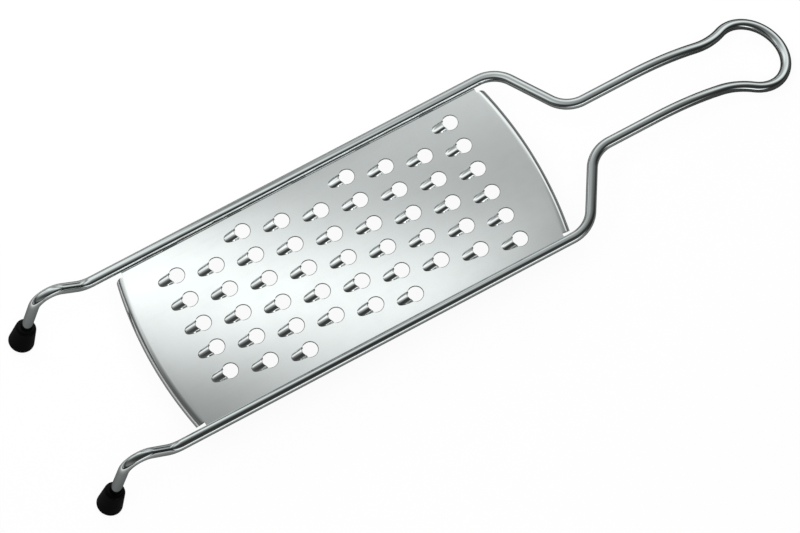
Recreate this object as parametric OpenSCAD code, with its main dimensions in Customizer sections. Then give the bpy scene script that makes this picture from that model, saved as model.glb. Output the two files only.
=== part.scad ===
// Julienne grater: a punched steel blade, welded between the rails of one bent wire.
// The same wire also makes the two legs, the handle and its hanging eye.
// A rubber cap is pushed onto each leg. The grater stands on both caps and on the eye.
// z = 0 is the table, +X points along the handle, and y = 0 is the plane of symmetry.

/* [Wire frame] */
// Diameter of the wire
wire_d = 5.6; // [4.4:0.1:6.8]
// How much thinner the wire is drawn in its bends, measured on the radius
bend_thinning = 0.03; // [0.02:0.01:0.1]
// Distance between the centre lines of the two rails
rail_spacing = 98; // [80:1:120]
// Height of the rails' centre lines over the table
rail_h = 28.6; // [24:0.2:38]

/* [Legs] */
// From the blade's front end to the corner where each rail starts to rise
front_gap = 10.5; // [6:0.5:24]
// Bend radius where a rail starts to rise
rise_r = 11.8; // [8:0.1:18]
// How far each rail runs forward from that corner to the corner of its hump
hump_run = 21.7; // [19:0.1:30]
// Height of the hump's corner over the rails
hump_rise = 18.7; // [15:0.1:26]
// Bend radius over the hump
hump_r = 9.9; // [7:0.1:12]
// Lean of the legs from upright, in degrees
leg_lean = 21.3; // [10:0.1:30]

/* [Handle] */
// From the blade's rear end to the corner where the rails turn in
rear_gap = 4.1; // [3:0.1:20]
// Angle by which the rails turn in towards the handle, in degrees
neck_angle = 58.9; // [45:0.1:70]
// Bend radius at the rails' rear corners
corner_r = 16.9; // [10:0.1:22]
// Bend radius where the wires turn into the handle
neck_r = 16.3; // [10:0.1:22]
// Distance between the centre lines of the two handle wires
handle_spacing = 26.3; // [20:0.1:32]
// From the neck's corner to the corner where the handle turns down
grip_len = 55.3; // [44:0.1:120]
// Bend radius where the handle turns down
droop_r = 92; // [60:1:110]

/* [Hanging eye] */
// Radius of the eye, at the wire's centre line
eye_r = 19.2; // [17.5:0.1:26]
// Bend radius where the handle flares into the eye
flare_r = 43; // [25:1:70]

/* [Blade] */
// Length of the blade along its middle
blade_len = 216; // [150:1:260]
// Thickness of the sheet
blade_t = 0.8; // [0.5:0.05:1.2]
// How far the blade's top face lies below the rails' centre lines
blade_drop = 0.8; // [0:0.1:1.5]
// Radius of the bulging ends, seen from above
end_r = 220; // [150:1:400]
// Outer radius of the bend that turns each end down
lip_r = 3; // [1.6:0.1:3.6]
// How far the turned-down ends reach below the top face
lip_depth = 4.4; // [3.8:0.1:8]
// Free space between a lip's ends and the rails
lip_gap = 2.4; // [1:0.1:6]
// How far the sides that meet the rails stop short of the blade's ends
tab_setback = 8.8; // [7:0.1:16]
// Gap left between the blade's edge and a rail before welding
weld_gap = 0.05; // [0.02:0.01:0.2]

/* [Teeth] */
// Distance between columns of teeth, along the blade
column_pitch = 19.5; // [16:0.1:26]
// Distance between teeth of one column, across the blade
tooth_pitch = 14.4; // [11:0.1:20]
// Diameter of the hole in front of each cutting edge
hole_d = 8.2; // [5:0.1:9]
// Outer radius of the rounded hood behind each hole
hood_r = 4; // [2.6:0.1:4.6]
// Height of the cutting edge over the sheet
hood_h = 2; // [1.2:0.1:2.6]
// Length of the hood from the cutting edge to its tip
hood_len = 6.4; // [5:0.1:8]
// How far the middle column of holes lies behind the blade's middle
tooth_shift = 1.9; // [0:0.1:6]
// Least distance from a hole's centre to the blade's side
side_margin = 10.2; // [8:0.1:14]
// Least distance from the outer columns of holes to the blade's ends
end_margin = 29; // [24:0.5:40]

/* [Foot caps] */
// Length of a rubber cap
cap_len = 16; // [12:0.5:22]
// Diameter of a cap's mouth
cap_top_d = 10.4; // [10:0.1:12]
// Largest diameter of a cap, at its foot
cap_foot_d = 13.3; // [12.2:0.1:18]
// Rounding of a cap's foot
cap_edge_r = 2; // [1:0.1:3]
// Rounding of a cap's mouth
cap_mouth_r = 2.1; // [1:0.1:2.1]
// Rubber under the end of the wire
cap_floor = 5; // [3:0.5:8]
// Clearance of a cap on the wire
cap_fit = 0.05; // [0.02:0.01:0.2]
// Depth to which each cap is flattened where it stands
cap_flat = 0.4; // [0.2:0.1:0.8]

/* [Welds] */
// Radius of a weld bead under the blade's edge
weld_r = 1.2; // [0.8:0.1:1.6]
// Length of a weld bead
weld_len = 8; // [4:0.5:12]
// Distance between the middles of two welds
weld_pitch = 36; // [20:1:60]

/* [Hidden] */
$fn = 64;

// Wire frame
wire_r = wire_d / 2;
bend_wire_r = wire_r - bend_thinning;
// Length by which a straight runs on into the bend at its end
bend_lap = 0.3;
rail_y = rail_spacing / 2;
handle_y = handle_spacing / 2;

// The eye's arc meets each flare where both head the same way
flare_angle = acos((handle_y + flare_r) / (eye_r + flare_r));
eye_centre = (eye_r + flare_r) * sin(flare_angle);
eye_reach = eye_centre + eye_r;
// Where a flare meets the eye, in the plane of the eye, and the way that the wire heads there
eye_join = [flare_r * sin(flare_angle), handle_y + flare_r * (1 - cos(flare_angle)), 0];
eye_heading = [cos(flare_angle), sin(flare_angle), 0];

// The handle turns down until the eye touches the table
handle_drop = rail_h - bend_wire_r;
droop_angle = asin((handle_drop - droop_r) / norm([eye_reach, droop_r])) + atan2(droop_r, eye_reach);
droop_tangent = droop_r * tan(droop_angle / 2);
handle_dir = [cos(droop_angle), 0, -sin(droop_angle)];

// Distances along X from the middle of the blade
rise_dx = -blade_len / 2 - front_gap;
hump_dx = rise_dx - hump_run;
corner_dx = blade_len / 2 + rear_gap;
neck_dx = corner_dx + (rail_y - handle_y) / tan(neck_angle);
droop_dx = neck_dx + grip_len;
tip_dx = droop_dx + (droop_tangent + eye_reach) * cos(droop_angle);

// Each leg runs down from its hump until the rounded rim of its cap reaches the table
cap_foot_r = cap_foot_d / 2;
cap_rim_r = cap_foot_r - cap_edge_r;
leg_dir = [-sin(leg_lean), 0, -cos(leg_lean)];
hump_h = rail_h + hump_rise;
rim_travel = (hump_h - cap_rim_r * sin(leg_lean) - cap_edge_r + cap_flat) / cos(leg_lean);
cap_travel = rim_travel + cap_edge_r;
wire_end_travel = cap_travel - cap_floor - cap_fit;

// The origin lies below the middle of the whole length
front_dx = hump_dx - rim_travel * sin(leg_lean) - cap_rim_r * cos(leg_lean) - cap_edge_r;
rear_dx = tip_dx + bend_wire_r;
blade_x = -(front_dx + rear_dx) / 2;

// Corners of the wire on the right-hand side
hump_corner = [blade_x + hump_dx, rail_y, hump_h];
leg_end = hump_corner + wire_end_travel * leg_dir;
rise_corner = [blade_x + rise_dx, rail_y, rail_h];
rail_corner = [blade_x + corner_dx, rail_y, rail_h];
neck_corner = [blade_x + neck_dx, handle_y, rail_h];
droop_corner = [blade_x + droop_dx, handle_y, rail_h];
flare_start = droop_corner + droop_tangent * handle_dir;

// Blade
blade_z = rail_h - blade_drop;
blade_y = rail_y - sqrt(wire_r * wire_r - blade_drop * blade_drop) - weld_gap;
lip_y = rail_y - wire_r - lip_gap;
bend_start_r = end_r - lip_r;
end_centre = blade_len / 2 - end_r;
lip_angle = asin(lip_y / bend_start_r);
tab_len = blade_len - 2 * tab_setback;
// Width of flat sheet that each turned-down end shares with the rest of the blade
lip_lap = 1;

// Teeth
hole_r = hole_d / 2;
hood_angle = atan(hood_h / hood_len);
hood_reach = (hole_r + hood_len) / cos(hood_angle);
// Height of the hood's axis over the top face, at the middle of its hole
hood_axis_h = hood_h - hood_r / cos(hood_angle) + hole_r * tan(hood_angle);
columns_each_side = floor((blade_len / 2 - end_margin) / column_pitch);
tooth_limit = blade_y - side_margin;
rows_each_side = ceil(tooth_limit / tooth_pitch) + 1;
// Each column is moved across the blade by a third of the pitch, so no two in a row cut one groove
column_step = tooth_pitch / 3;
column_start = tooth_pitch / 6;

// Welds
welds_each_side = floor((tab_len - weld_len) / 2 / weld_pitch);

function unit(v) = v / norm(v);
function bend_angle(a, b, c) = acos(unit(b - a) * unit(c - b));
function bend_tangent(a, b, c, r) = r * tan(bend_angle(a, b, c) / 2);

// A straight length of wire from one point to another
module straight(from, to) {
    run = to - from;
    length = norm(run);
    side = abs(run[1]) < length / 2 ? [0, 1, 0] : [1, 0, 0];
    z_dir = unit(run);
    x_dir = unit(cross(side, z_dir));
    y_dir = cross(z_dir, x_dir);
    multmatrix([
        [x_dir[0], y_dir[0], z_dir[0], from[0]],
        [x_dir[1], y_dir[1], z_dir[1], from[1]],
        [x_dir[2], y_dir[2], z_dir[2], from[2]],
        [0, 0, 0, 1]
    ])
        cylinder(r = wire_r, h = length);
}

// The bend at corner b, on the way from a to c
module bend(a, b, c, r) {
    before = unit(b - a);
    after = unit(c - b);
    inward = unit(after - before);
    turn = bend_angle(a, b, c);
    centre = b + inward * r / cos(turn / 2);
    first = b - before * bend_tangent(a, b, c, r);
    x_dir = unit(first - centre);
    z_dir = cross(x_dir, before);
    multmatrix([
        [x_dir[0], before[0], z_dir[0], centre[0]],
        [x_dir[1], before[1], z_dir[1], centre[1]],
        [x_dir[2], before[2], z_dir[2], centre[2]],
        [0, 0, 0, 1]
    ])
        flat_bend(r, turn);
}

// A bend in the plane z = 0, from the X axis towards the Y axis
module flat_bend(r, turn) {
    rotate_extrude(angle = turn, $fn = 180)
        translate([r, 0])
            circle(bend_wire_r, $fn = 48);
}

// Wire through a list of corners, each with its own bend radius, from a cut end to a bend that follows
module bent_wire(corners, radii) {
    last = len(corners) - 1;
    for (i = [1 : last - 1])
        bend(corners[i - 1], corners[i], corners[i + 1], radii[i]);
    for (i = [0 : last - 1]) {
        run = unit(corners[i + 1] - corners[i]);
        lead = i == 0 ? 0 : bend_tangent(corners[i - 1], corners[i], corners[i + 1], radii[i]) - bend_lap;
        bend_ahead = i == last - 1 ? 0 : bend_tangent(corners[i], corners[i + 1], corners[i + 2], radii[i + 1]);
        straight(corners[i] + run * lead, corners[i + 1] - run * (bend_ahead - bend_lap));
    }
}

// Everything on the right-hand side of the wire, from the end of the leg to the eye
module half_wire() {
    bent_wire(
        [leg_end, hump_corner, rise_corner, rail_corner, neck_corner, droop_corner, flare_start],
        [0, hump_r, rise_r, corner_r, neck_r, droop_r, 0]
    );
    eye_plane() {
        translate([0, handle_y + flare_r, 0])
            rotate([0, 0, -90])
                flat_bend(flare_r, flare_angle);
        straight(eye_join - bend_lap * eye_heading, eye_join + bend_lap * eye_heading);
    }
}

// Places its children in the plane of the eye, with x along the handle from the start of the flare
module eye_plane() {
    translate([flare_start[0], 0, flare_start[2]])
        rotate([0, droop_angle, 0])
            children();
}

module wire_frame() {
    color("silver") {
        half_wire();
        mirror([0, 1, 0])
            half_wire();
        eye_plane()
            translate([eye_centre, 0, 0])
                rotate([0, 0, -90 - flare_angle])
                    flat_bend(eye_r, 180 + 2 * flare_angle);
    }
}

// Flat part of the blade, seen from above, up to the start of the end bends
module blade_outline() {
    square([tab_len, 2 * blade_y], center = true);
    intersection() {
        square([blade_len, 2 * lip_y], center = true);
        for (side = [-1, 1])
            translate([side * end_centre, 0])
                circle(bend_start_r, $fn = 360);
    }
}

// Section of a turned-down end: flat sheet, quarter bend and short flange
module lip_section() {
    translate([bend_start_r - lip_lap, -blade_t])
        square([lip_lap, blade_t]);
    translate([bend_start_r, -lip_r])
        difference() {
            intersection() {
                circle(lip_r);
                square(lip_r);
            }
            circle(lip_r - blade_t);
        }
    translate([end_r - blade_t, -lip_depth])
        square([blade_t, lip_depth - lip_r]);
}

// The turned-down rear end
module lip() {
    translate([end_centre, 0, 0])
        rotate([0, 0, -lip_angle])
            rotate_extrude(angle = 2 * lip_angle, $fn = 360)
                lip_section();
}

// Runs its children once for each tooth, with the hole's centre at the origin
module each_tooth() {
    for (column = [-columns_each_side : columns_each_side]) {
        across = column_start - (column + columns_each_side) % 3 * column_step;
        for (row = [-rows_each_side : rows_each_side]) {
            y = across + row * tooth_pitch;
            if (abs(y) <= tooth_limit)
                translate([tooth_shift + column * column_pitch, y, 0])
                    children();
        }
    }
}

// A round bar on the hood's sloping axis, from the hole down into the sheet
module hood_bar(r) {
    translate([0, 0, hood_axis_h])
        rotate([0, -90 - hood_angle, 0])
            cylinder(r = r, h = hood_reach);
}

// The raised metal of one hood, from half the sheet's thickness up
module hood() {
    intersection() {
        hood_bar(hood_r);
        translate([-2 * hood_reach, -2 * hood_r, -blade_t / 2])
            cube([2 * hood_reach, 4 * hood_r, 2 * hood_r]);
    }
}

module grating_blade() {
    color("gainsboro")
        translate([blade_x, 0, blade_z])
            difference() {
                union() {
                    translate([0, 0, -blade_t])
                        linear_extrude(blade_t)
                            blade_outline();
                    lip();
                    mirror([1, 0, 0])
                        lip();
                    each_tooth()
                        hood();
                }
                each_tooth() {
                    hood_bar(hood_r - blade_t);
                    translate([0, 0, -2 * hood_r])
                        cylinder(r = hole_r, h = 4 * hood_r);
                }
            }
}

// Half section of a cap: two roundings joined by the straight line that touches both
module cap_section() {
    mouth_r = cap_top_d / 2;
    foot = [cap_rim_r, cap_edge_r];
    mouth = [mouth_r - cap_mouth_r, cap_len - cap_mouth_r];
    run = mouth - foot;
    side = atan2(run[1], run[0]) - acos((cap_edge_r - cap_mouth_r) / norm(run));
    outward = [cos(side), sin(side)];
    polygon([
        [0, 0],
        [foot[0], 0],
        foot + cap_edge_r * outward,
        mouth + cap_mouth_r * outward,
        [mouth[0], cap_len],
        [0, cap_len]
    ]);
    translate(foot)
        circle(cap_edge_r);
    translate(mouth)
        circle(cap_mouth_r);
}

// A cap on the leg of one side: 1 is right, -1 is left
module foot_cap(side) {
    bore_r = wire_r + cap_fit;
    foot = hump_corner + cap_travel * leg_dir;
    color("#161616")
        difference() {
            translate([foot[0], side * foot[1], foot[2]])
                rotate([0, leg_lean, 0])
                    difference() {
                        rotate_extrude()
                            cap_section();
                        translate([0, 0, cap_floor])
                            cylinder(r = bore_r, h = cap_len);
                    }
            translate([foot[0] - cap_len, side * foot[1] - cap_len, -cap_len])
                cube([2 * cap_len, 2 * cap_len, cap_len]);
        }
}

module left_foot_cap() {
    foot_cap(-1);
}

module right_foot_cap() {
    foot_cap(1);
}

// Section of a weld bead, in the corner between the blade's underside and the right rail
module weld_section() {
    difference() {
        translate([blade_y, blade_z - blade_t])
            circle(weld_r);
        translate([blade_y - 2 * weld_r, blade_z - blade_t])
            square(4 * weld_r);
        translate([rail_y, rail_h])
            circle(wire_r);
    }
}

// The row of weld beads along the right rail
module weld_row() {
    color("darkgray")
        for (i = [-welds_each_side : welds_each_side])
            translate([blade_x + i * weld_pitch - weld_len / 2, 0, 0])
                rotate([90, 0, 90])
                    linear_extrude(weld_len)
                        weld_section();
}

module left_welds() {
    mirror([0, 1, 0])
        weld_row();
}

module right_welds() {
    weld_row();
}

wire_frame();
grating_blade();
left_foot_cap();
right_foot_cap();
left_welds();
right_welds();
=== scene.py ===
# %% [markdown]
# A julienne grater, dressed for its picture.
#
# The solids of this grater are exact but plain. This lesson makes a second set of pieces that stand in the
# same places and look like the real thing: a bent wire with drawn lines, a punched sheet with formed teeth,
# two rubber caps and the weld beads. Sizes are in millimetres until a piece is finished.

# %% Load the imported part
import math

import bmesh
import bpy
from mathutils import Matrix, Vector


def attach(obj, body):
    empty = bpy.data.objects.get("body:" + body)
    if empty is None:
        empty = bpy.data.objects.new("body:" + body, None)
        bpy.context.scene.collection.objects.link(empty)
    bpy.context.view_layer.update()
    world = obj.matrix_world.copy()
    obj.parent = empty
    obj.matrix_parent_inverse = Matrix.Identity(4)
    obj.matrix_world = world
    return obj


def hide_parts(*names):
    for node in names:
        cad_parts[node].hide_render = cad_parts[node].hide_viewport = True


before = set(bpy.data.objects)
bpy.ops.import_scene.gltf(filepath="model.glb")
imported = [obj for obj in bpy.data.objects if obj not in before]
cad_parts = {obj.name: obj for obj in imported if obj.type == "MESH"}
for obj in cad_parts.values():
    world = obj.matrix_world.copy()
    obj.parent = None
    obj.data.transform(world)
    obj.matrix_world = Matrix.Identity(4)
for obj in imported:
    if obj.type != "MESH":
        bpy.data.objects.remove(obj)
scene = bpy.context.scene
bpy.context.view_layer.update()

# %% [markdown]
# The camera. The photo was taken from above the front left with a long lens, so that parallel lines stay
# nearly parallel. The place and the turn below were found by matching points of the solids to the photo.

# %% Place the camera
lens_mm = 186.430355
sensor_mm = 36
camera_place = (-0.27049185, -0.75356825, 1.90640048)
camera_turn = (22.076983, 3.937599, -28.299472)
camera_shift = (-0.0001, 0.0006)
camera_data = bpy.data.cameras.new("camera")
camera_data.lens = lens_mm
camera_data.sensor_width = sensor_mm
camera_data.shift_x = camera_shift[0]
camera_data.shift_y = camera_shift[1]
camera = bpy.data.objects.new("camera", camera_data)
camera.location = camera_place
camera.rotation_euler = [math.radians(turn) for turn in camera_turn]
scene.collection.objects.link(camera)
scene.camera = camera
print("camera distance, in metres:", round(camera.location.length, 3))

# %% [markdown]
# From drawing to piece. Each piece is drawn in millimetres as a bmesh, then scaled to metres, named and tied
# to the solid that it stands for.

# %% Helper for pieces
MM = 0.001


def finish_piece(name, shape, material, node):
    """Turns a bmesh in millimetres into a piece of the grater that stands for one CAD node."""
    bmesh.ops.scale(shape, vec=(MM, MM, MM), verts=shape.verts)
    mesh = bpy.data.meshes.new(name)
    shape.to_mesh(mesh)
    shape.free()
    for face in mesh.polygons:
        face.use_smooth = True
    mesh.materials.append(material)
    piece = bpy.data.objects.new(name, mesh)
    scene.collection.objects.link(piece)
    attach(piece, "root")
    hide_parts(node)
    print(name, "faces:", len(mesh.polygons))
    return piece


print("one unit of drawing is", MM, "metres")

# %% [markdown]
# Helpers for finishes. A finish is a small graph of shader nodes. One helper adds a node and fills its
# sockets, and the others start a group or a material.

# %% Helpers for finishes
def add_node(tree, kind, values=None, **settings):
    """Adds a shader node; values fills its sockets and settings its own fields."""
    made = tree.nodes.new("ShaderNode" + kind)
    for field, value in settings.items():
        setattr(made, field, value)
    for socket, value in (values or {}).items():
        if isinstance(value, bpy.types.NodeSocket):
            tree.links.new(value, made.inputs[socket])
        else:
            made.inputs[socket].default_value = value
    return made


def calculate(tree, operation, *numbers):
    """Adds a sum, a product or the like and returns its result."""
    return add_node(tree, "Math", dict(enumerate(numbers)), operation=operation).outputs[0]


def new_group(name, outputs):
    """Starts a node group that takes coordinates and gives the named values."""
    group = bpy.data.node_groups.new(name, "ShaderNodeTree")
    group.interface.new_socket("Vector", in_out="INPUT", socket_type="NodeSocketVector")
    for output in outputs:
        group.interface.new_socket(output, in_out="OUTPUT", socket_type="NodeSocketFloat")
    start = group.nodes.new("NodeGroupInput")
    end = group.nodes.new("NodeGroupOutput")
    return group, start.outputs["Vector"], end


def empty_material(name):
    """Starts a material without nodes."""
    material = bpy.data.materials.new(name)
    material.use_nodes = True
    material.node_tree.nodes.clear()
    return material, material.node_tree


def new_material(name):
    """Starts a material with one Principled shader."""
    material, tree = empty_material(name)
    shader = add_node(tree, "BsdfPrincipled")
    add_node(tree, "OutputMaterial", {"Surface": shader.outputs["BSDF"]})
    return material, tree, shader


print("materials so far:", len(bpy.data.materials))

# %% [markdown]
# Marks that steel carries. Wire is pulled through a die and sheet is rolled, so both have fine lines that
# run one way. Handling leaves cloudy patches that blur the shine a little. Both effects are shared groups.

# %% Shared effects
fine_lines, lines_vector, lines_end = new_group("fine lines", ["Height", "Mask"])
hairs = add_node(fine_lines, "TexNoise", {"Vector": lines_vector, "Scale": 1.0, "Detail": 4.0})
bands = add_node(fine_lines, "TexNoise", {"Vector": lines_vector, "Scale": 0.22, "Detail": 2.0})
fine_lines.links.new(hairs.outputs["Fac"], lines_end.inputs["Height"])
fine_lines.links.new(bands.outputs["Fac"], lines_end.inputs["Mask"])

smudges, smudge_vector, smudge_end = new_group("smudges", ["Mask"])
clouds = add_node(smudges, "TexNoise", {"Vector": smudge_vector, "Scale": 34.0, "Detail": 5.0})
wipes = add_node(smudges, "TexNoise", {"Vector": smudge_vector, "Scale": 140.0, "Detail": 3.0})
both = calculate(smudges, "MULTIPLY", clouds.outputs["Fac"], wipes.outputs["Fac"])
patchy = add_node(smudges, "MapRange", {"Value": both, "From Min": 0.12, "From Max": 0.4})
smudges.links.new(patchy.outputs["Result"], smudge_end.inputs["Mask"])
print("nodes in the fine lines and in the smudges:", len(fine_lines.nodes), len(smudges.nodes))

# %% [markdown]
# Bare steel. Every steel on the grater is the same recipe with other values: two close greys, a range of
# roughness, lines in one direction, and the colour that the metal takes on at a flat angle.

# %% The recipe for steel
LINE_DEPTH = 0.00002


def steel(name, dull, bright, rim, roughness, lines, coordinates, bump):
    """A bare steel; coordinates names an attribute for the lines, or None for plain object space."""
    material, tree, shader = new_material(name)
    place = add_node(tree, "TexCoord")
    vector = place.outputs["Object"]
    if coordinates:
        vector = add_node(tree, "Attribute", attribute_name=coordinates).outputs["Vector"]
    along = add_node(tree, "Mapping", {"Vector": vector, "Scale": lines})
    drawn = add_node(tree, "Group", node_tree=fine_lines)
    tree.links.new(along.outputs["Vector"], drawn.inputs["Vector"])
    hazy = add_node(tree, "Group", node_tree=smudges)
    tree.links.new(place.outputs["Object"], hazy.inputs["Vector"])
    worn = calculate(tree, "MULTIPLY", drawn.outputs["Mask"], hazy.outputs["Mask"])
    grey = add_node(tree, "Mix", {"Factor": worn, 6: bright, 7: dull}, data_type="RGBA")
    haze = add_node(
        tree, "MapRange", {"Value": hazy.outputs["Mask"], "To Min": roughness[0], "To Max": roughness[1]}
    )
    relief = add_node(
        tree, "Bump", {"Height": drawn.outputs["Height"], "Strength": bump, "Distance": LINE_DEPTH}
    )
    tree.links.new(grey.outputs[2], shader.inputs["Base Color"])
    tree.links.new(haze.outputs["Result"], shader.inputs["Roughness"])
    tree.links.new(relief.outputs["Normal"], shader.inputs["Normal"])
    shader.inputs["Metallic"].default_value = 1.0
    shader.inputs["Specular Tint"].default_value = rim
    return material


print("depth of the lines, in metres:", LINE_DEPTH)

# %% [markdown]
# The wire's sizes. On the real grater this is one stainless wire, bent cold on formers: leg, hump, rail,
# neck, handle, the hanging eye, and back the same way. The solid has a thickness of 5.6 mm, and the wire is
# drawn a touch thinner here. Two turns follow from the sizes: the flare from the eye, and the droop from the
# height at which the eye meets the table.

# %% Sizes of the wire
wire_r = 2.74
rail_y = 49.0
rail_h = 28.6
handle_y = 13.15
handle_drop = 25.83
blade_x = -43.89
blade_end = 108.0
front_gap = 10.5
rear_gap = 4.1
leg_lean = 21.3
leg_len = 44.19
hump_run = 21.7
hump_rise = 18.7
hump_r = 9.9
hump_turn = 109.45
rise_r = 11.8
rise_turn = 40.75
corner_r = 16.9
neck_r = 16.3
neck_turn = 58.9
neck_step = 21.63
grip_len = 55.3
droop_r = 92.0
flare_r = 43.0
eye_r = 19.2

flare = math.acos((handle_y + flare_r) / (eye_r + flare_r))
flare_turn = math.degrees(flare)
eye_reach = (eye_r + flare_r) * math.sin(flare) + eye_r
droop = math.asin((handle_drop - droop_r) / math.hypot(eye_reach, droop_r)) + math.atan2(droop_r, eye_reach)
droop_turn = math.degrees(droop)
drooped_up = Vector((math.sin(droop), 0, math.cos(droop)))
lean = math.radians(leg_lean)
leg_dir = Vector((-math.sin(lean), 0, -math.cos(lean)))
hump_corner = Vector((blade_x - blade_end - front_gap - hump_run, -rail_y, rail_h + hump_rise))
print("droop and flare, in degrees:", round(droop_turn, 5), round(flare_turn, 5))

# %% [markdown]
# The bender's program. A bender works with two moves: feed the wire forward for a straight run, or turn it
# about a former for a bend. A bend takes a little from the runs on both of its sides. The way back
# repeats the way out in reverse order, with bends in the standing plane turned the other way.

# %% Write the bender's program
ACROSS = Vector((0, 1, 0))
UP = Vector((0, 0, 1))


def tangent(radius, turn):
    """Length that a bend takes from each of the straight runs it joins."""
    return radius * math.tan(math.radians(turn) / 2)


def turned_back(step):
    """The same step on the way back."""
    if step[0] == "feed" or abs(step[1].y) < 0.5:
        return step
    kind, axis, radius, turn = step
    return (kind, -axis, radius, turn)


rail_len = 2 * blade_end + front_gap + rear_gap
neck_len = math.hypot(neck_step, rail_y - handle_y)
way_out = [
    ("feed", leg_len - tangent(hump_r, hump_turn)),
    ("bend", ACROSS, hump_r, hump_turn),
    ("feed", math.hypot(hump_run, hump_rise) - tangent(hump_r, hump_turn) - tangent(rise_r, rise_turn)),
    ("bend", -ACROSS, rise_r, rise_turn),
    ("feed", rail_len - tangent(rise_r, rise_turn) - tangent(corner_r, neck_turn)),
    ("bend", UP, corner_r, neck_turn),
    ("feed", neck_len - tangent(corner_r, neck_turn) - tangent(neck_r, neck_turn)),
    ("bend", -UP, neck_r, neck_turn),
    ("feed", grip_len - tangent(neck_r, neck_turn) - tangent(droop_r, droop_turn)),
    ("bend", ACROSS, droop_r, droop_turn),
    ("bend", -drooped_up, flare_r, flare_turn),
]
eye_bend = ("bend", drooped_up, eye_r, 180 + 2 * flare_turn)
program = way_out + [eye_bend] + [turned_back(step) for step in reversed(way_out)]
print("steps in the program:", len(program))

# %% [markdown]
# Round bars. The wire, and later the weld beads, start as a disc whose edge is pulled along step by step. The
# first helper makes the disc, and the second pulls its edge one step further.

# %% Helpers for round bars
wire_sides = 40


def start_bar(shape, segments, radius, matrix):
    """Makes the disc that a round bar starts from and returns its edges and vertices."""
    ring = bmesh.ops.create_circle(shape, segments=segments, radius=radius, matrix=matrix)["verts"]
    edge_loop = list(dict.fromkeys(edge for vert in ring for edge in vert.link_edges))
    bmesh.ops.contextual_create(shape, geom=edge_loop)
    return edge_loop, ring


def pull_bar(shape, edge_loop, move):
    """Pulls the open end of a bar one step further and returns the new edges and vertices."""
    made = bmesh.ops.extrude_edge_only(shape, edges=edge_loop)["geom"]
    fresh = [item for item in made if isinstance(item, bmesh.types.BMVert)]
    bmesh.ops.transform(shape, matrix=move, verts=fresh)
    fresh_set = set(fresh)
    edges = [item for item in made if isinstance(item, bmesh.types.BMEdge) and set(item.verts) <= fresh_set]
    return edges, fresh


print("sides of the round wire:", wire_sides)

# %% [markdown]
# Bending. The wire starts at the foot of the left leg and is pulled along the program. Every vertex also
# keeps its place on the wire before bending, so that the drawn lines follow the bends.

# %% Bend the wire
feed_step = 12
turn_step = 3

wire = bmesh.new()
straight = wire.verts.layers.float_vector.new("straight")
heading = -leg_dir
here = hump_corner + leg_dir * leg_len
stand_up = heading.to_track_quat("Z", "Y").to_matrix().to_4x4()
open_end, first_ring = start_bar(wire, wire_sides, wire_r, Matrix.Translation(here) @ stand_up)
for number, vert in enumerate(first_ring):
    angle = math.tau * number / wire_sides
    vert[straight] = (wire_r * MM * math.cos(angle), wire_r * MM * math.sin(angle), 0)


def grow(end, move, step_length):
    """Pulls the open end of the wire one step further and notes the length on the new ring."""
    edges, fresh = pull_bar(wire, end, move)
    for vert in fresh:
        before = vert[straight]
        vert[straight] = (before.x, before.y, before.z + step_length * MM)
    return edges


bent_length = 0.0
for step in program:
    if step[0] == "feed":
        length = step[1]
        parts = max(1, round(length / feed_step))
        move = Matrix.Translation(heading * length / parts)
        for _ in range(parts):
            open_end = grow(open_end, move, length / parts)
        here = here + heading * length
    else:
        axis, radius, turn = step[1:]
        length = math.radians(turn) * radius
        parts = math.ceil(turn / turn_step)
        centre = here + axis.cross(heading) * radius
        turn_part = Matrix.Rotation(math.radians(turn / parts), 4, axis)
        move = Matrix.Translation(centre) @ turn_part @ Matrix.Translation(-centre)
        for _ in range(parts):
            open_end = grow(open_end, move, length / parts)
            here = move @ here
        heading = Matrix.Rotation(math.radians(turn), 4, axis) @ heading
    bent_length += length
bmesh.ops.contextual_create(wire, geom=open_end)
bmesh.ops.recalc_face_normals(wire, faces=wire.faces)
print("wire length, in mm:", round(bent_length, 1), " ends at", [round(c, 2) for c in here])

# %% [markdown]
# The wire's finish. Drawn wire is polished and a cool grey, with lines that run along it. They are stretched
# along the third coordinate, which is the length before bending.

# %% Finish the wire
wire_steel = steel(
    "drawn stainless wire", (0.55, 0.585, 0.58, 1), (0.61, 0.645, 0.64, 1), (0.7, 0.73, 0.73, 1),
    (0.035, 0.08), (2600, 2600, 40), "straight", 0.012,
)
finish_piece("wire", wire, wire_steel, "wire_frame")

# %% [markdown]
# One tooth. A punch cuts a round hole and a second tool lifts the metal in front of it into a hood, whose
# raised edge does the cutting. The hood is the top of a round bar that pushes up through the sheet: it climbs
# fast at its tip and flattens out towards the hole. Its outline is where that bar leaves the sheet, up to the
# point where it meets the hole.

# %% Sizes of one tooth
hole_r = 4.1
hood_r = 3.15
hood_h = 2.2
hood_len = 5.95
crest_power = 0.7
outline_reach = 8.0
tip_x = -hole_r - hood_len


def crest(x):
    """Height of the hood's crest, steepest at the tip."""
    return hood_h * ((x - tip_x) / hood_len) ** crest_power


def hood_z(x, y):
    """Height of the hood above the sheet."""
    return crest(x) - hood_r + math.sqrt(hood_r**2 - y**2)


def outline_point(turn):
    """Point where the hood leaves the sheet: turn 0 is the tip, positive turns lie towards +Y."""
    x = tip_x + outline_reach * (1 - math.cos(turn))
    half_width = math.sqrt(hood_r**2 - (hood_r - crest(x)) ** 2)
    return Vector((x, math.copysign(half_width, turn), 0))


low, high = 0.3, math.pi / 2
for _ in range(50):
    halfway = (low + high) / 2
    inside = outline_point(halfway).length < hole_r
    low, high = (low, halfway) if inside else (halfway, high)
meet_turn = low
meet = outline_point(meet_turn)
meet_angle = math.atan2(meet.y, meet.x)
print("hood crest, in mm:", round(hood_z(-hole_r, 0), 2), " meets the hole at", [round(c, 2) for c in meet])

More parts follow.
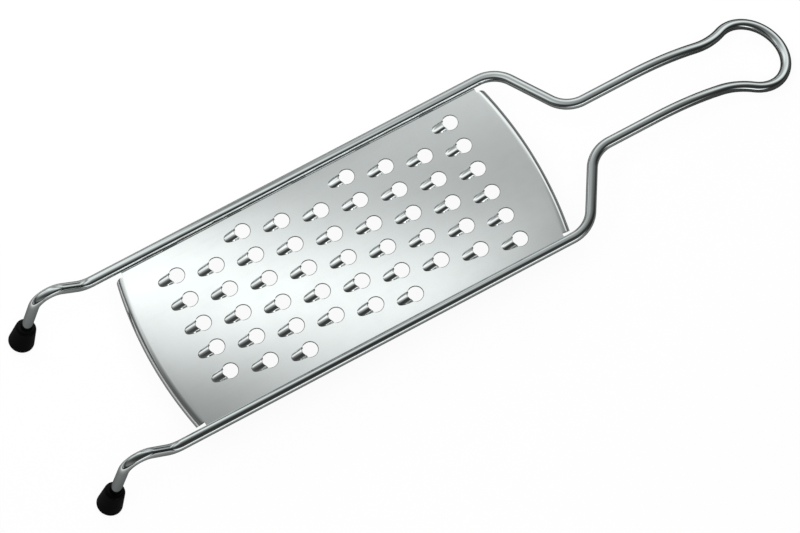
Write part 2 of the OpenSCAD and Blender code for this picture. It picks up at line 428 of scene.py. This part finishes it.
# %% [markdown]
# The hood. A grid of quads is stretched over the outline, with one side on the hole's edge, and each point is
# lifted to its height. The rest of the hole's edge is then spun from one corner of the hood to the other.

# %% Raise the hood and cut the hole
hood_quads = 12
hole_steps = 24


def across_hood(u, v):
    """Blends the hood's four sides: u runs from the tip side to the hole, v across."""
    def flank(side):
        return outline_point(side * meet_turn * (1 + 2 * u) / 3)

    tip = outline_point(meet_turn / 3 * (2 * v - 1))
    edge_angle = math.pi + (math.pi - meet_angle) * (1 - 2 * v)
    edge_point = Vector((hole_r * math.cos(edge_angle), hole_r * math.sin(edge_angle), 0))
    blend = (1 - u) * tip + u * edge_point + (1 - v) * flank(-1) + v * flank(1)
    for side, weight in ((-1, 1 - v), (1, v)):
        near_tip = outline_point(side * meet_turn / 3)
        near_hole = outline_point(side * meet_turn)
        blend -= weight * ((1 - u) * near_tip + u * near_hole)
    return blend


def on_outline(edge):
    """Tells whether an edge of the flat grid lies on its tip side or on a flank."""
    ends = [vert.co for vert in edge.verts]
    on_tip = all(co.x < -0.999 for co in ends)
    return on_tip or all(co.y > 0.999 for co in ends) or all(co.y < -0.999 for co in ends)


tooth = bmesh.new()
hood = bmesh.ops.create_grid(tooth, x_segments=hood_quads, y_segments=hood_quads, size=1)["verts"]
crease_edges = [edge for edge in tooth.edges if on_outline(edge)]
outline_verts = {vert for edge in crease_edges for vert in edge.verts}
for vert in hood:
    flat = across_hood((vert.co.x + 1) / 2, (vert.co.y + 1) / 2)
    height = 0 if vert in outline_verts else max(0, hood_z(flat.x, flat.y))
    vert.co = (flat.x, flat.y, height)
low_corner = min(hood, key=lambda vert: (vert.co.xy - Vector((meet.x, -meet.y))).length)
high_corner = min(hood, key=lambda vert: (vert.co.xy - meet.xy).length)
spun_end = bmesh.ops.spin(
    tooth, geom=[low_corner], cent=(0, 0, 0), axis=UP, angle=2 * meet_angle, steps=hole_steps,
    use_duplicate=False,
)["geom_last"]
bmesh.ops.weld_verts(tooth, targetmap={spun_end[0]: high_corner})
print("faces of the hood:", len(tooth.faces), " edges of the outline:", len(crease_edges))

# %% [markdown]
# The rim. Punching rolls the hole's edge down a little. A narrow ring does this: its outer side widens, its
# inner side drops, and both fade out towards the hood. It gets the second finish of the blade, the rough
# sheared edge, whose darker grey is painted shade.

# %% Roll the rim
roll_width = 0.4
roll_depth = 0.3
roll_fade = 0.3
NEARLY = 0.01


def roll_share(co):
    """How much of the roll a point of the rim has: all of it away from the hood, none at its corners."""
    turned = abs(math.atan2(co.y, co.x))
    return max(0, min(1, (meet_angle - turned) / roll_fade))


rim_edges = [edge for edge in tooth.edges if not edge.link_faces]
for edge in rim_edges:
    edge.smooth = False
rim_verts = {vert for edge in rim_edges for vert in edge.verts}
rolled = bmesh.ops.extrude_edge_only(tooth, edges=rim_edges)["geom"]
merged = {}
for vert in [item for item in rolled if isinstance(item, bmesh.types.BMVert)]:
    share = roll_share(vert.co)
    if share < NEARLY:
        merged[vert] = low_corner if vert.co.y < 0 else high_corner
    vert.co *= 1 - roll_width / 2 / hole_r * share
    vert.co.z = -roll_depth * share
bmesh.ops.weld_verts(tooth, targetmap=merged)
for vert in rim_verts:
    vert.co *= 1 + roll_width / 2 / hole_r * roll_share(vert.co)
print("edges of the rim:", len(rim_edges))

# %% [markdown]
# The tooth's cell. The flat metal around hood and hole is bridged to the border of a cell, whose points are
# those of the sheet's lattice, so that the cell fits in. The crease around the hood is then softened.

# %% Join the tooth to its cell
pitch_x = 19.5
pitch_y = 14.4
cell_back = 6.5
cell_front = pitch_x - cell_back
cell_half = pitch_y / 2
steps_along = 18
steps_across = 12
walk_x = -3
crease_width = 0.45

around_tooth = crease_edges + rim_edges
border = [
    item for item in bmesh.ops.extrude_edge_only(tooth, edges=around_tooth)["geom"]
    if isinstance(item, bmesh.types.BMVert)
]


def walk_angle(vert):
    """Angle of a border point about the middle of the tooth, from 0 at the back."""
    return (math.atan2(vert.co.y, vert.co.x - walk_x) + 0.0001) % math.tau


border.sort(key=walk_angle)
half_across = steps_across // 2
cell_x = [cell_back - pitch_x / steps_along * i for i in range(steps_along + 1)]
cell_y = [cell_half - pitch_y / steps_across * i for i in range(steps_across + 1)]
cell_walk = [(cell_back, y) for y in reversed(cell_y[:half_across + 1])]
cell_walk += [(x, cell_half) for x in cell_x[1:]]
cell_walk += [(cell_x[-1], y) for y in cell_y[1:]]
cell_walk += [(x, -cell_half) for x in reversed(cell_x[:-1])]
cell_walk += [(cell_back, y) for y in reversed(cell_y[half_across + 1:-1])]
for face in tooth.faces:
    face.material_index = 1 if face in rolled else 0
for vert, (x, y) in zip(border, cell_walk):
    vert.co = (x, y, 0)
bmesh.ops.recalc_face_normals(tooth, faces=tooth.faces)
if max(tooth.faces, key=lambda face: face.calc_center_median().x).normal.z < 0:
    bmesh.ops.reverse_faces(tooth, faces=tooth.faces)
bmesh.ops.bevel(
    tooth, geom=crease_edges, offset=crease_width, offset_type="OFFSET", segments=3, profile=0.5,
    affect="EDGES", clamp_overlap=True, material=-1,
)
print("edges around the tooth:", len(around_tooth), " border points:", len(cell_walk))
print("faces of one tooth:", len(tooth.faces))
tooth_mesh = bpy.data.meshes.new("tooth pattern")
tooth.to_mesh(tooth_mesh)
tooth.free()

# %% [markdown]
# The blade. It is one sheet, 0.8 mm thick, with nine columns of teeth and both ends turned down along an
# arc. A grid is laid on lattice lines that fit the tooth cells, and the lines past the last column are
# wrapped round the end bends. The tabs that reach the rails end before the bends, so the grid's corners are
# cut away.

# %% Lay out the sheet
sheet = 0.8
blade_z = 27.8
blade_half = 46.27
tab_row = 45.0
tab_end = 99.2
last_flat = 94.0
lip_half = 43.8
lip_depth = 5.0
lip_taper = 1.6
end_r = 220.0
bend_r = 4.0
tooth_columns = 9
tooth_shift = 1.9

first_hole = tooth_shift - tooth_columns // 2 * pitch_x
lattice_step = pitch_x / steps_along
lattice = [first_hole - cell_front + lattice_step * i for i in range(steps_along * tooth_columns + 1)]
end_lines = [("flat", last_flat), ("flat", tab_end)]
end_lines += [("bend", turn) for turn in range(0, 91, 10)]
end_lines += [("lip", 90)]
columns = [(kind, -1, value) for kind, value in reversed(end_lines)]
columns += [("flat", 1, x) for x in lattice]
columns += [(kind, 1, value) for kind, value in end_lines]
row_step = pitch_y / steps_across
inner_rows = math.floor(lip_half / row_step)
rows = [-blade_half, -tab_row, -lip_half]
rows += [row_step * i for i in range(-inner_rows, inner_rows + 1)]
rows += [lip_half, tab_row, blade_half]


def sheet_point(column, y):
    """Point of the sheet's upper face on one lattice line."""
    kind, end, value = column
    if kind == "flat":
        return Vector((end * value, y, 0))
    turn = math.radians(value)
    y *= 1 - lip_taper / lip_half * (1 - math.cos(turn))
    slope = y / (end_r - bend_r)
    out = Vector((end * math.sqrt(1 - slope**2), slope, 0))
    start = Vector((end * (blade_end - end_r), 0, 0)) + out * (end_r - bend_r)
    depth = bend_r * (1 - math.cos(turn)) if kind == "bend" else lip_depth - sheet
    return start + out * bend_r * math.sin(turn) - UP * depth


blade = bmesh.new()
bmesh.ops.create_grid(blade, x_segments=len(columns) - 1, y_segments=len(rows) - 1, size=1)
cut_away = []
for vert in blade.verts:
    column = columns[round((vert.co.x + 1) / 2 * (len(columns) - 1))]
    row = rows[round((vert.co.y + 1) / 2 * (len(rows) - 1))]
    if column[0] != "flat" and abs(row) > lip_half + NEARLY:
        cut_away.append(vert)
    vert.co = sheet_point(column, row)
bmesh.ops.delete(blade, geom=cut_away, context="VERTS")
print("lattice of the sheet:", len(columns), "by", len(rows), " corner points cut away:", len(cut_away))

# %% [markdown]
# Setting the teeth. The columns are staggered by a third of the pitch across. Cells with a tooth are cut out
# of the sheet and the tooth pattern is set in.

# %% Set the teeth
stagger = pitch_y / 3
side_margin = 10.2
seam = 0.02

teeth = []
for column in range(tooth_columns):
    x = first_hole + column * pitch_x
    offset = stagger / 2 - column % 3 * stagger
    for row in range(-3, 4):
        y = offset + row * pitch_y
        if abs(y) <= blade_half - side_margin:
            teeth.append((x, y))


def in_a_cell(point):
    """Tells whether a point of the flat sheet lies in the cell of a tooth."""
    return point.z > -NEARLY and any(
        -cell_front < point.x - x < cell_back and abs(point.y - y) < cell_half for x, y in teeth
    )


cells = [face for face in blade.faces if in_a_cell(face.calc_center_median())]
bmesh.ops.delete(blade, geom=cells, context="FACES")
for x, y in teeth:
    one_tooth = tooth_mesh.copy()
    one_tooth.transform(Matrix.Translation((x, y, 0)))
    blade.from_mesh(one_tooth)
    bpy.data.meshes.remove(one_tooth)
bpy.data.meshes.remove(tooth_mesh)
bmesh.ops.remove_doubles(blade, verts=blade.verts, dist=seam)
bmesh.ops.recalc_face_normals(blade, faces=blade.faces)
if sum(face.normal.z for face in blade.faces) < 0:
    bmesh.ops.reverse_faces(blade, faces=blade.faces)
bmesh.ops.translate(blade, vec=(blade_x, 0, blade_z), verts=blade.verts)
print("teeth:", len(teeth))

# %% [markdown]
# Thickness and edges. So far the sheet is a skin. A Solidify modifier gives it its thickness downwards, with
# the sheared finish on its edge: rough steel in a darker grey, which is painted shade. A Bevel modifier
# breaks the edges, as tumbling does after punching, and the last modifier keeps the shading of flat metal
# flat.

# %% Give the sheet its thickness
edge_break = 0.38
sharp_turn = 50
blade_steel = steel(
    "rolled stainless sheet", (0.745, 0.77, 0.766, 1), (0.8, 0.822, 0.818, 1), (0.85, 0.86, 0.86, 1),
    (0.07, 0.1), (60, 2400, 2400), None, 0.02,
)
# Rough steel for cut and broken edges; its darker grey is painted shade on the hole walls and edges.
sheared_steel_with_painted_shade = steel(
    "sheared edge with painted shade", (0.42, 0.435, 0.435, 1), (0.54, 0.555, 0.555, 1), (0.6, 0.61, 0.61, 1),
    (0.4, 0.55), (1500, 1500, 1500), None, 0.3,
)
blade_piece = finish_piece("blade", blade, blade_steel, "grating_blade")
blade_piece.data.materials.append(sheared_steel_with_painted_shade)
thicken = blade_piece.modifiers.new("sheet thickness", "SOLIDIFY")
thicken.thickness = sheet * MM
thicken.offset = -1
thicken.use_even_offset = True
thicken.material_offset_rim = 1
soften = blade_piece.modifiers.new("tumbled edges", "BEVEL")
soften.width = edge_break * MM
soften.segments = 3
soften.limit_method = "ANGLE"
soften.angle_limit = math.radians(sharp_turn)
soften.material = 1
even = blade_piece.modifiers.new("flat shading on flat metal", "WEIGHTED_NORMAL")
even.keep_sharp = True
print("modifiers of the blade:", [modifier.name for modifier in blade_piece.modifiers])

# %% [markdown]
# Black rubber. It hardly shines: a nearly black colour with a little dust, a fine pebbled grain from the
# mould, and a weak reflection.

# %% Mix the rubber
GRAIN_DEPTH = 0.00006
grain_strength = 0.35
rubber_rough = (0.42, 0.55)
rubber_shine = 0.1
deep_black = (0.0006, 0.0006, 0.0006, 1)
dust_black = (0.0015, 0.0015, 0.0015, 1)
rubber, rubber_tree, rubber_shader = new_material("black rubber")
rubber_place = add_node(rubber_tree, "TexCoord").outputs["Object"]
grain = add_node(rubber_tree, "TexNoise", {"Vector": rubber_place, "Scale": 1800.0, "Detail": 4.0})
dusty = add_node(rubber_tree, "Group", {"Vector": rubber_place}, node_tree=smudges)
dust = dusty.outputs["Mask"]
black = add_node(rubber_tree, "Mix", {"Factor": dust, 6: deep_black, 7: dust_black}, data_type="RGBA")
matt = add_node(
    rubber_tree, "MapRange", {"Value": dust, "To Min": rubber_rough[0], "To Max": rubber_rough[1]}
)
pebbled = add_node(
    rubber_tree, "Bump",
    {"Height": grain.outputs["Fac"], "Strength": grain_strength, "Distance": GRAIN_DEPTH},
)
rubber_tree.links.new(black.outputs[2], rubber_shader.inputs["Base Color"])
rubber_tree.links.new(matt.outputs["Result"], rubber_shader.inputs["Roughness"])
rubber_tree.links.new(pebbled.outputs["Normal"], rubber_shader.inputs["Normal"])
rubber_shader.inputs["Specular IOR Level"].default_value = rubber_shine
print("finish of the caps:", rubber.name)

# %% [markdown]
# The foot caps. Each is a small moulded cup, pushed onto the end of a leg so that the grater does not slide.
# The half profile is spun about the leg, its rims are rounded, and the foot is sliced flat where it stands on
# the table. The profile swells a little at the foot and pinches at the mouth, compared with the solid.

# %% Mould the foot caps
cap_len = 16.0
cap_foot_r = 6.65
cap_mouth_r = 5.2
foot_swell = 0.19
mouth_pinch = 0.1
foot_round = 2.0
mouth_round = 2.1
cap_fit = 0.05
cap_bore = wire_r + cap_fit
cap_wall = 0.5
cap_floor = 5.0
cap_travel = 49.24
cap_steps = 56
side_lean = math.atan2(cap_foot_r - cap_mouth_r, cap_len)
foot_reach = foot_round * math.tan((math.pi / 2 + side_lean) / 2)
mouth_reach = mouth_round * math.tan((math.pi / 2 - side_lean) / 2)


def rim_at(shape, height):
    """Edges of a cap that run round it at a height, outside the bore."""
    found = []
    for edge in shape.edges:
        radii = [vert.co.xy.length for vert in edge.verts]
        level = all(abs(vert.co.z - height) < NEARLY for vert in edge.verts)
        if level and min(radii) > cap_bore + cap_wall and abs(radii[0] - radii[1]) < NEARLY:
            found.append(edge)
    return found


def slice_off(shape, height, side):
    """Cuts away all that lies above (side 1) or below (side -1) a height, and closes the cut."""
    everything = shape.verts[:] + shape.edges[:] + shape.faces[:]
    bmesh.ops.bisect_plane(
        shape, geom=everything, dist=0.0001, plane_co=(0, 0, height), plane_no=(0, 0, side), clear_outer=True
    )
    bmesh.ops.holes_fill(shape, edges=[edge for edge in shape.edges if edge.is_boundary])


for side_name, side in (("left", -1), ("right", 1)):
    cap = bmesh.new()
    profile = [(0, cap_floor), (cap_bore, cap_floor), (cap_bore, cap_len)]
    profile += [(cap_mouth_r - mouth_pinch, cap_len), (cap_foot_r + foot_swell, 0), (0, 0)]
    chain = [cap.verts.new((r, 0, h)) for r, h in profile]
    lines = [cap.edges.new(pair) for pair in zip(chain, chain[1:])]
    bmesh.ops.spin(
        cap, geom=chain + lines, cent=(0, 0, 0), axis=UP, angle=math.tau, steps=cap_steps, use_merge=True,
        use_duplicate=False,
    )
    bmesh.ops.remove_doubles(cap, verts=cap.verts, dist=0.001)
    for height, reach in ((0, foot_reach), (cap_len, mouth_reach)):
        bmesh.ops.bevel(
            cap, geom=rim_at(cap, height), offset=reach, offset_type="OFFSET", segments=8, profile=0.5,
            affect="EDGES", clamp_overlap=True, material=-1,
        )
    bmesh.ops.recalc_face_normals(cap, faces=cap.faces)
    foot = Vector((hump_corner.x, side * rail_y, hump_corner.z)) + leg_dir * cap_travel
    bmesh.ops.transform(cap, matrix=Matrix.Translation(foot) @ stand_up, verts=cap.verts)
    slice_off(cap, 0, -1)
    finish_piece(side_name + "_cap", cap, rubber, side_name + "_foot_cap")

# %% [markdown]
# The welds. Short beads under the sheet hold it to the rails. A bead is laid as a row of overlapping drops,
# so its outline ripples; the heat leaves it rougher and a little straw-coloured.

# %% Lay the weld beads
weld_r = 1.2
weld_len = 8.0
weld_pitch = 36.0
weld_steel = steel(
    "weld metal", (0.3, 0.27, 0.22, 1), (0.48, 0.48, 0.47, 1), (0.6, 0.6, 0.6, 1),
    (0.3, 0.5), (900, 900, 900), None, 0.8,
)
bead_sides = 16
drops = [0.3, 0.72, 0.95, 0.9, 1.0, 0.92, 1.0, 0.92, 1.0, 0.9, 0.95, 0.72, 0.3]
drop_step = Matrix.Translation((weld_len / (len(drops) - 1), 0, 0))

for side_name, side in (("left", -1), ("right", 1)):
    beads = bmesh.new()
    for number in range(-2, 3):
        start = Vector((blade_x + number * weld_pitch - weld_len / 2, side * blade_half, blade_z - sheet))
        along_x = Matrix.Translation(start) @ Matrix.Rotation(math.pi / 2, 4, "Y")
        bead_end, _ = start_bar(beads, bead_sides, weld_r * drops[0], along_x)
        for before, after in zip(drops, drops[1:]):
            swell = Matrix.Diagonal((1, after / before, after / before, 1))
            about_axis = Matrix.Translation(start) @ swell @ Matrix.Translation(-start)
            bead_end, _ = pull_bar(beads, bead_end, about_axis @ drop_step)
        bmesh.ops.contextual_create(beads, geom=bead_end)
    slice_off(beads, blade_z - sheet / 2, 1)
    bmesh.ops.recalc_face_normals(beads, faces=beads.faces)
    finish_piece(side_name + "_bead", beads, weld_steel, side_name + "_welds")

# %% [markdown]
# The table. The grater stands on white paper, which the camera sees as plain white with a faint shadow.
# Polished steel mirrors the paper too, and there it matters that the paper close to a tool lies in its shade:
# so in reflections a painted shade makes it darker the nearer it is, and a painted shade darkens it under the
# handle's end. Seen from below the paper is left out, so that the underside can be looked at.

# %% Lay the table
def studio_sheet(name, half_size, height, material, faces_down=False):
    """A flat square sheet of the studio; its sizes are in metres."""
    shape = bmesh.new()
    bmesh.ops.create_grid(shape, x_segments=1, y_segments=1, size=half_size)
    bmesh.ops.translate(shape, vec=(0, 0, height), verts=shape.verts)
    if faces_down:
        bmesh.ops.reverse_faces(shape, faces=shape.faces)
    mesh = bpy.data.meshes.new(name)
    shape.to_mesh(mesh)
    shape.free()
    mesh.materials.append(material)
    made = bpy.data.objects.new(name, mesh)
    scene.collection.objects.link(made)
    return made


table_half = 6
table_z = -0.0002
fibre_dark = (0.94, 0.94, 0.94, 1)
fibre_light = (0.97, 0.97, 0.97, 1)
shade_reach = 0.3
shade_deep = 0.06
paper_white = 0.95
# Painted shade under the handle's end, seen only in reflections: where it starts, where it is full, how dark.
handle_shade_start = 0.125
handle_shade_full = 0.165
handle_shade_tone = 0.05
glow_share = 0.93

paper, paper_tree = empty_material("white paper")
path = add_node(paper_tree, "LightPath").outputs
near = add_node(
    paper_tree, "MapRange",
    {"Value": path["Ray Length"], "From Max": shade_reach, "To Min": shade_deep, "To Max": paper_white},
).outputs["Result"]
paper_place = add_node(paper_tree, "TexCoord").outputs["Object"]
paper_x = add_node(paper_tree, "SeparateXYZ", {"Vector": paper_place}).outputs["X"]
# Painted shade: in reflections the paper darkens along x towards the handle's end.
painted_handle_shade = add_node(
    paper_tree, "MapRange",
    {"Value": paper_x, "From Min": handle_shade_start, "From Max": handle_shade_full, "To Min": 1.0, "To Max": handle_shade_tone},
).outputs["Result"]
in_mirrors = calculate(paper_tree, "MULTIPLY", near, painted_handle_shade)
mirrored = calculate(paper_tree, "MULTIPLY", path["Is Glossy Ray"], in_mirrors)
seen = calculate(paper_tree, "MAXIMUM", path["Is Camera Ray"], path["Is Transmission Ray"])
strength = calculate(paper_tree, "MAXIMUM", seen, mirrored)
fibre = add_node(paper_tree, "TexNoise", {"Vector": paper_place, "Scale": 300.0, "Detail": 3.0})
tone = add_node(
    paper_tree, "Mix", {"Factor": fibre.outputs["Fac"], 6: fibre_dark, 7: fibre_light}, data_type="RGBA"
)
lit = add_node(paper_tree, "BsdfDiffuse", {"Color": tone.outputs[2]}).outputs[0]
glow = add_node(paper_tree, "Emission", {"Strength": strength}).outputs[0]
paper_mix = add_node(paper_tree, "MixShader", {0: glow_share, 1: lit, 2: glow}).outputs[0]
below = add_node(paper_tree, "NewGeometry").outputs["Backfacing"]
clear = add_node(paper_tree, "BsdfTransparent").outputs[0]
one_sided = add_node(paper_tree, "MixShader", {0: below, 1: paper_mix, 2: clear}).outputs[0]
add_node(paper_tree, "OutputMaterial", {"Surface": one_sided})
table = studio_sheet("table", table_half, table_z, paper)
print("the table lies at", round(table.data.vertices[0].co.z, 5), "metres")

# %% [markdown]
# The fill lamp. One square lamp lights the paper from the front left, so that the grater keeps a soft shadow.
# Neither the camera nor the steel sees it.

# %% Hang the fill lamp
fill_place = Vector((-0.15, -0.25, 0.9))
fill_size = 0.8
fill_brightness = 4.0
fill_data = bpy.data.lights.new("fill", "AREA")
fill_data.shape = "SQUARE"
fill_data.size = fill_size
fill_data.energy = fill_brightness * math.pi * fill_size * fill_size
fill = bpy.data.objects.new("fill", fill_data)
fill.location = fill_place
fill.rotation_euler = fill_place.to_track_quat("Z", "Y").to_euler()
fill.visible_camera = False
fill.visible_glossy = False
scene.collection.objects.link(fill)
print("fill lamp, in watts:", round(fill_data.energy, 2))

# %% [markdown]
# The diffuser. Polished steel shows what surrounds it more than its own colour, so most of the light comes
# from a cloth stretched above the grater, with soft patches on it. The camera looks through the cloth. The
# patches were fitted so that the steel mirrors light and dark about where the photo shows them. A patch with
# a negative brightness takes light away.

# %% Hang the diffuser
diffuser_half = 3
diffuser_z = 0.178
dim_cloth = 0.03
cloth_tint = (0.968, 1.0, 0.994, 1)
# Each patch: its name, middle in metres, turn in degrees, half sizes, steepness of its edge, brightness.
soft_patches = [
    ("ridge", (-0.054, 0.05), 155.9, (0.105, 0.045), 2, 0.98),
    ("ridge core", (-0.019, 0.011), 8.2, (0.109, 0.023), 2, 0.215),
    ("ridge end", (-0.239, 0.098), 1.1, (0.228, 0.018), 2, 0.27),
    ("key", (0.317, 0.192), 157.6, (0.471, 0.157), 4, 0.75),
    ("overhead", (0.107, 0.12), 164.3, (0.267, 0.12), 3, 0.493),
    ("front glow", (0.04, -0.035), 170.3, (0.15, 0.035), 2, 0.25),
    ("back left", (-0.264, 0.254), 40.2, (0.101, 0.2), 2, 1.2),
    ("back middle", (-0.13, 0.29), 0, (0.055, 0.16), 4, 0.6),
    ("gap at the back", (-0.033, 0.349), 178.6, (0.05, 0.262), 2, -0.36),
    ("far back", (1.085, 1.854), 40.5, (1.093, 0.688), 2, 1.53),
    ("front wall", (0.12, -1.45), 0, (0.65, 0.85), 6, 2.4),
    ("front haze", (0.05, -0.55), 0, (0.33, 0.3), 3, 0.12),
    ("far right", (1.006, 0.31), 167.5, (3.8, 0.128), 2, 0.554),
    ("gap at the eye", (0.23, 0.06), 0, (0.06, 0.05), 2, -0.3),
    ("right glow", (0.52, 0.13), 0, (0.16, 0.14), 2, 0.5),
    ("back right", (0.18, 0.26), 0, (0.05, 0.12), 2, 0.4),
    ("left wall", (-1.55, 0.3), 0, (0.85, 0.6), 8, 0.35),
    ("left front", (-0.42, -0.25), 0, (0.16, 0.3), 3, 0.22),
]

cloth, cloth_tree = empty_material("lit cloth")
cloth_place = add_node(cloth_tree, "TexCoord").outputs["Object"]
light = add_node(cloth_tree, "Value").outputs[0]
light.default_value = dim_cloth
for patch, middle, turn, half_sizes, steepness, level in soft_patches:
    local = add_node(
        cloth_tree, "Mapping",
        {"Vector": cloth_place, "Location": (*middle, diffuser_z), "Rotation": (0, 0, math.radians(turn)),
         "Scale": (*half_sizes, 1)},
        vector_type="TEXTURE", label=patch,
    ).outputs["Vector"]
    away = add_node(cloth_tree, "VectorMath", {0: local}, operation="LENGTH").outputs["Value"]
    raised = calculate(cloth_tree, "POWER", away, steepness)
    fading = calculate(cloth_tree, "EXPONENT", calculate(cloth_tree, "MULTIPLY", raised, -1.0))
    light = calculate(cloth_tree, "MULTIPLY_ADD", fading, level, light)
light = calculate(cloth_tree, "MAXIMUM", light, 0.0)
cloth_glow = add_node(cloth_tree, "Emission", {"Color": cloth_tint, "Strength": light}).outputs[0]
add_node(cloth_tree, "OutputMaterial", {"Surface": cloth_glow})
diffuser = studio_sheet("diffuser", diffuser_half, diffuser_z, cloth, faces_down=True)
diffuser.visible_camera = False
diffuser.visible_shadow = False
print("patches of light and dark:", len(soft_patches))

# %% [markdown]
# The room. It is white to the camera and dim to everything else, so that the steel mirrors the diffuser and
# not the room.

# %% Paint the room
room_dim = 0.03
world = bpy.data.worlds.new("dim studio")
scene.world = world
world.use_nodes = True
world_tree = world.node_tree
world_tree.nodes.clear()
room_seen = add_node(world_tree, "LightPath").outputs["Is Camera Ray"]
room_light = calculate(world_tree, "MAXIMUM", room_seen, room_dim)
room = add_node(world_tree, "Background", {"Color": (1.0, 1.0, 1.0, 1), "Strength": room_light}).outputs[0]
add_node(world_tree, "OutputWorld", {"Surface": room})
scene.view_settings.view_transform = "Standard"
print("light of the room away from the camera:", room_dim)
